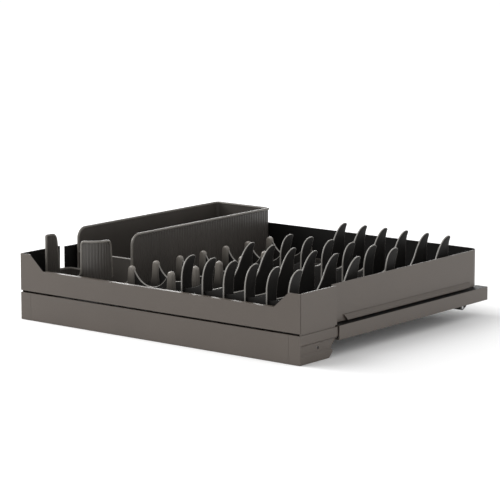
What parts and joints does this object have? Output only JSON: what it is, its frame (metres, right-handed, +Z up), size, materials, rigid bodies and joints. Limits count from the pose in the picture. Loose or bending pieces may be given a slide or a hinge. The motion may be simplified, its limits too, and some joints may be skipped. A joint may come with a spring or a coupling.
{
  "type": "pull-out dish drying rack",
  "caption": "Sheet metal drawer tray on full-extension side rails, with lift-out plastic racks for plates and bowls, a utensil bin and a cutlery caddy.",
  "frame": {"origin": "middle of the bounding box in plan, at the bottom of the fascia", "axes": "+X from left to right seen from the front, +Y from the front to the back of the cabinet, +Z up"},
  "size_m": [0.564, 0.497, 0.1355],
  "materials": {
    "coated_steel": "warm grey-brown powder coat, satin",
    "coated_dark": "dark powder coat, satin",
    "zinc_steel": "zinc plated",
    "dark_plastic": "anthracite polypropylene, fine grain",
    "glide_nylon": "natural nylon",
    "bumper_rubber": "black rubber"
  },
  "bodies": {
    "cabinet_side": {"rail_left": "coated_steel", "rail_right": "coated_steel", "rear_crossbar": "coated_dark", "crossbar_screw_left": "zinc_steel", "crossbar_screw_right": "zinc_steel", "closing_bumper_left": "bumper_rubber", "closing_bumper_right": "bumper_rubber"},
    "middle_left": {"middle_slide_left": "zinc_steel", "slide_glide_left": "glide_nylon"},
    "middle_right": {"middle_slide_right": "zinc_steel", "slide_glide_right": "glide_nylon"},
    "drawer": {"bracket_bolt_left_1": "zinc_steel", "bracket_bolt_left_2": "zinc_steel", "bracket_bolt_right_1": "zinc_steel", "bracket_bolt_right_2": "zinc_steel", "drawer_track_left": "zinc_steel", "drawer_track_right": "zinc_steel", "drip_tray": "dark_plastic", "fascia_bracket_left": "coated_steel", "fascia_bracket_right": "coated_steel", "fascia_plate": "coated_steel", "fascia_screw_left_1": "zinc_steel", "fascia_screw_left_2": "zinc_steel", "fascia_screw_right_1": "zinc_steel", "fascia_screw_right_2": "zinc_steel", "front_panel": "coated_steel", "side_return_left": "coated_steel", "side_return_right": "coated_steel", "side_skirt_left": "coated_steel", "side_skirt_right": "coated_steel", "track_bolt_left_1": "zinc_steel", "track_bolt_left_2": "zinc_steel", "track_bolt_right_1": "zinc_steel", "track_bolt_right_2": "zinc_steel", "track_glide_left": "glide_nylon", "track_glide_right": "glide_nylon", "tray_floor": "coated_steel", "tray_wall": "coated_steel"},
    "utensil_box": {"utensil_box": "dark_plastic"},
    "cutlery_caddy": {"cutlery_caddy": "dark_plastic"},
    "bowl_rack": {"bowl_rack": "dark_plastic"},
    "plate_rack_front": {"plate_rack_front": "dark_plastic"},
    "plate_rack_rear": {"plate_rack_rear": "dark_plastic"}
  },
  "joints": [
    {"name": "drawer_slide", "type": "slide", "parent": "cabinet_side", "child": "drawer", "axis": [0, -1, 0], "range_m": [0, 0.38]},
    {"name": "middle_left_slide", "type": "slide", "parent": "cabinet_side", "child": "middle_left", "axis": [0, -1, 0], "range_m": [0, 0.19]},
    {"name": "middle_right_slide", "type": "slide", "parent": "cabinet_side", "child": "middle_right", "axis": [0, -1, 0], "range_m": [0, 0.19]},
    {"name": "utensil_box_lift", "type": "slide", "parent": "drawer", "child": "utensil_box", "axis": [0, 0, 1], "range_m": [0, 0.14]},
    {"name": "cutlery_caddy_lift", "type": "slide", "parent": "utensil_box", "child": "cutlery_caddy", "axis": [0, 0, 1], "range_m": [0, 0.12]},
    {"name": "bowl_rack_lift", "type": "slide", "parent": "drawer", "child": "bowl_rack", "axis": [0, 0, 1], "range_m": [0, 0.1]},
    {"name": "plate_rack_front_lift", "type": "slide", "parent": "drawer", "child": "plate_rack_front", "axis": [0, 0, 1], "range_m": [0, 0.13]},
    {"name": "plate_rack_rear_lift", "type": "slide", "parent": "drawer", "child": "plate_rack_rear", "axis": [0, 0, 1], "range_m": [0, 0.13]}
  ],
  "couplings": [
    {"joint": "middle_left_slide", "follows": "drawer_slide", "ratio": 0.5},
    {"joint": "middle_right_slide", "follows": "drawer_slide", "ratio": 0.5}
  ]
}
